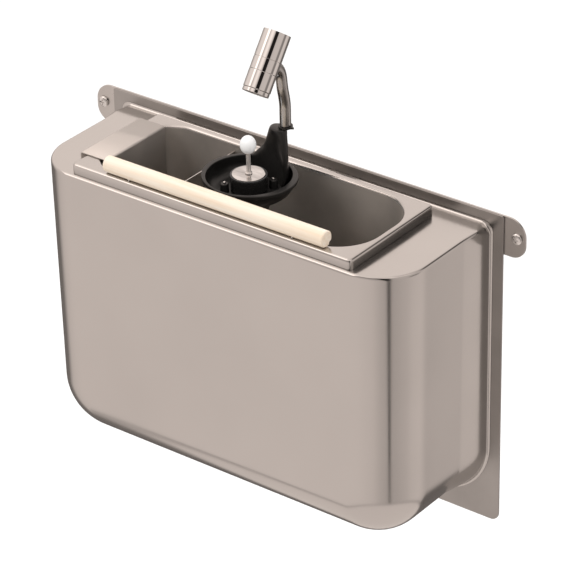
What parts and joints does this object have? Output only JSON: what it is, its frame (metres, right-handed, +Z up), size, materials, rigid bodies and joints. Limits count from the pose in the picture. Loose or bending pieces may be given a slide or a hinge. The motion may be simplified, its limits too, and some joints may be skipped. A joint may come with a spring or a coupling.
{
  "type": "dipper well",
  "caption": "Wall-hung dipper well with a lift-out rinse tank, a push-valve rinse bowl, a swivelling spray head, an end baffle, a weir plate and a wooden knock bar.",
  "frame": {"origin": "on the wall face, at the height of the wall screws and half way between them", "axes": "+Z up, +X along the wall to the right as seen from the front, +Y into the wall"},
  "size_m": [0.5056, 0.1508, 0.4866],
  "materials": {
    "satin_steel": "satin",
    "chrome": "polished",
    "black_plastic": "matte",
    "grey_plastic": "matte",
    "white_plastic": "gloss",
    "beech": "sanded",
    "rubber": "matte",
    "brass": "satin",
    "spring_steel": "satin"
  },
  "bodies": {
    "wall_unit": {"hanger_strap": "satin_steel", "strap_rivet_1": "satin_steel", "strap_rivet_2": "satin_steel", "strap_rivet_3": "satin_steel", "strap_rivet_4": "satin_steel", "wall_screw_left": "chrome", "wall_screw_right": "chrome", "wall_plate": "satin_steel", "housing_shell": "satin_steel", "hose_grommet": "rubber", "waste_socket": "black_plastic", "waste_nut": "black_plastic", "tail_seal": "rubber"},
    "rinse_tank": {"tank": "satin_steel", "rim_buffer_left": "grey_plastic", "rim_buffer_right": "grey_plastic", "weir_plate": "satin_steel", "knock_bar": "beech", "bar_screw_left": "satin_steel", "bar_screw_right": "satin_steel", "drain_body": "satin_steel", "drain_gasket": "rubber", "drain_nut": "black_plastic", "bowl_insert": "black_plastic", "bowl_screw_front": "chrome", "bowl_screw_rear": "chrome", "bowl_column": "black_plastic", "valve_nut": "brass", "inlet_nipple": "brass", "inlet_gasket": "rubber", "inlet_nut": "brass", "riser_tube": "brass", "valve_housing": "black_plastic", "valve_ring": "grey_plastic", "stem_seal": "rubber", "valve_spring": "spring_steel"},
    "baffle": {"end_baffle": "satin_steel"},
    "strainer": {"drain_strainer": "satin_steel"},
    "push_rod": {"push_disc": "chrome", "push_stem": "chrome", "valve_plunger": "white_plastic", "ball_knob": "white_plastic"},
    "spout": {"pipe_collar": "black_plastic", "swivel_pipe": "chrome", "head_ball": "chrome"},
    "head": {"spray_head": "chrome"},
    "outlet": {"flow_sleeve": "chrome", "aerator_ring": "chrome", "aerator_insert": "grey_plastic"}
  },
  "joints": [
    {"name": "tank_lift", "type": "slide", "parent": "wall_unit", "child": "rinse_tank", "axis": [0, 0, 1], "range_m": [0, 0.32]},
    {"name": "baffle_lift", "type": "slide", "parent": "rinse_tank", "child": "baffle", "axis": [0, 0, 1], "range_m": [0, 0.09]},
    {"name": "strainer_lift", "type": "slide", "parent": "rinse_tank", "child": "strainer", "axis": [0, 0, 1], "range_m": [0, 0.03]},
    {"name": "push", "type": "slide", "parent": "rinse_tank", "child": "push_rod", "axis": [0, 0, -1], "range_m": [0, 0.005], "stiffness_N_per_m": 300, "springref_m": -0.008, "deforming": ["valve_spring"]},
    {"name": "pipe_swivel", "type": "hinge", "parent": "rinse_tank", "child": "spout", "pos_m": [0.018, -0.0496, 0.0674], "axis": [0, 0, 1], "range_deg": [-90, 90]},
    {"name": "head_tilt", "type": "hinge", "parent": "spout", "child": "head", "pos_m": [0.018, -0.0706, 0.14026], "axis": [1, 0, 0], "range_deg": [-16, 4]},
    {"name": "outlet_twist", "type": "hinge", "parent": "head", "child": "outlet", "pos_m": [0.018, -0.0586, 0.1669], "axis": [0, -0.5892, -0.808], "range_deg": [0, 90]}
  ]
}
